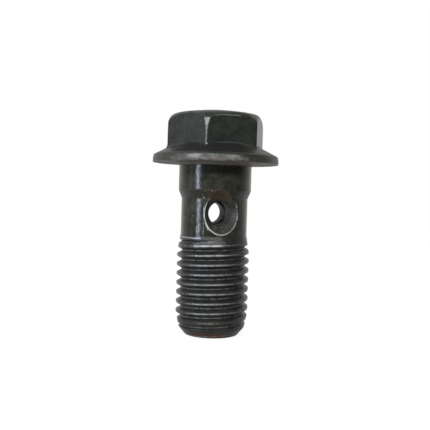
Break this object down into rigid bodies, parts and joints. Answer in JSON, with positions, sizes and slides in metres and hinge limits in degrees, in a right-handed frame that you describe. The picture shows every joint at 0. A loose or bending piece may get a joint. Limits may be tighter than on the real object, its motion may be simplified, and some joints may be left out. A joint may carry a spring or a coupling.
{
  "type": "banjo bolt",
  "caption": "Flanged hex banjo bolt: a hollow, cross-drilled screw with a collar and relieved neck above its thread.",
  "frame": {"origin": "centre of the flat end face, on the surface that the bolt stands on", "axes": "+Z along the bolt's axis towards the head, Y along the cross hole"},
  "size_m": [0.0168, 0.0168, 0.0297],
  "materials": {
    "black_oxide_steel": "black oxide over forged and rolled steel, satin, worn to bare metal along edges and crests"
  },
  "bodies": {
    "root": {"banjo_bolt": "black_oxide_steel"}
  },
  "joints": []
}
